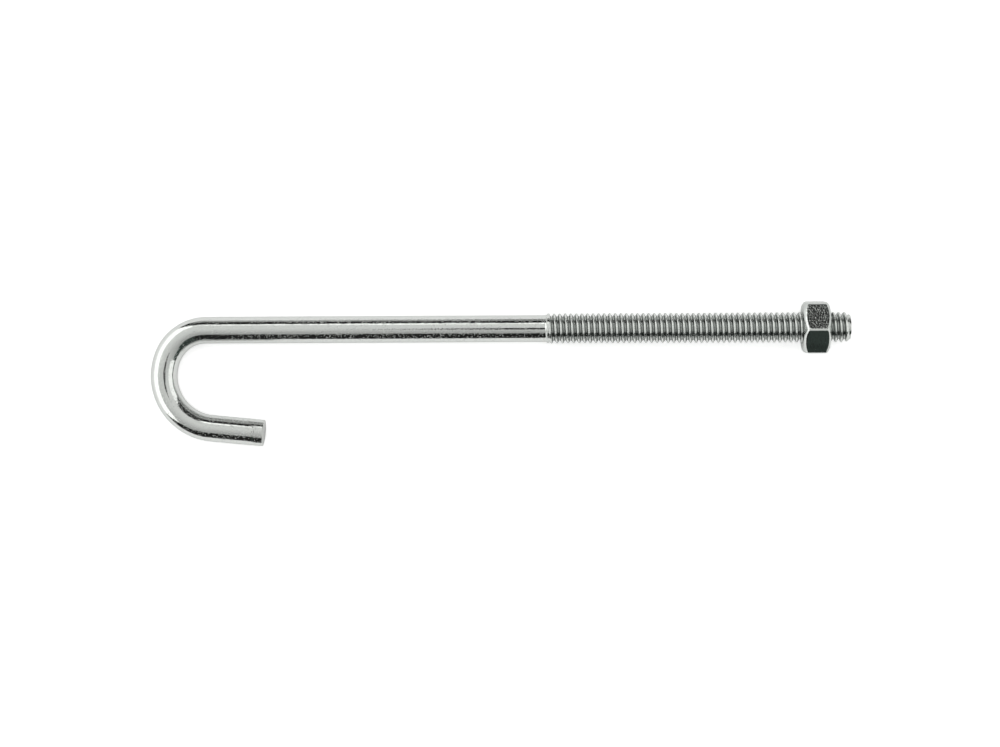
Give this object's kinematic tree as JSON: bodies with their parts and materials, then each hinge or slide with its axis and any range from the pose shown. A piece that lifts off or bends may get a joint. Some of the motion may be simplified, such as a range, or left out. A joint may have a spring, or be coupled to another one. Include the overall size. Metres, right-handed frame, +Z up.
{
  "type": "j-bolt",
  "caption": "Zinc-plated J-bolt: a round rod bent into a hook at one end and threaded at the other, with a hex nut on the thread.",
  "frame": {"origin": "middle of the footprint, on the surface that the bolt lies on", "axes": "+X along the rod from the hook to the threaded end, rising 1.32 degrees as it rests on the bend and on the nut's lower corner; +Z up; the hook bends towards -Y"},
  "size_m": [0.1778, 0.0364, 0.0144],
  "materials": {
    "rod_zinc": "bright zinc plate over drawn and rolled steel, fine die lines and small pits",
    "nut_zinc": "bright zinc plate over cold-formed steel, tumbled edges"
  },
  "bodies": {
    "bolt": {"j_bolt": "rod_zinc"},
    "nut": {"hex_nut": "nut_zinc"}
  },
  "joints": [
    {"name": "nut_travel", "type": "slide", "parent": "bolt", "child": "nut", "axis": [0.9997, 0, 0.0231], "range_m": [-0.0635, 0.0127]}
  ]
}
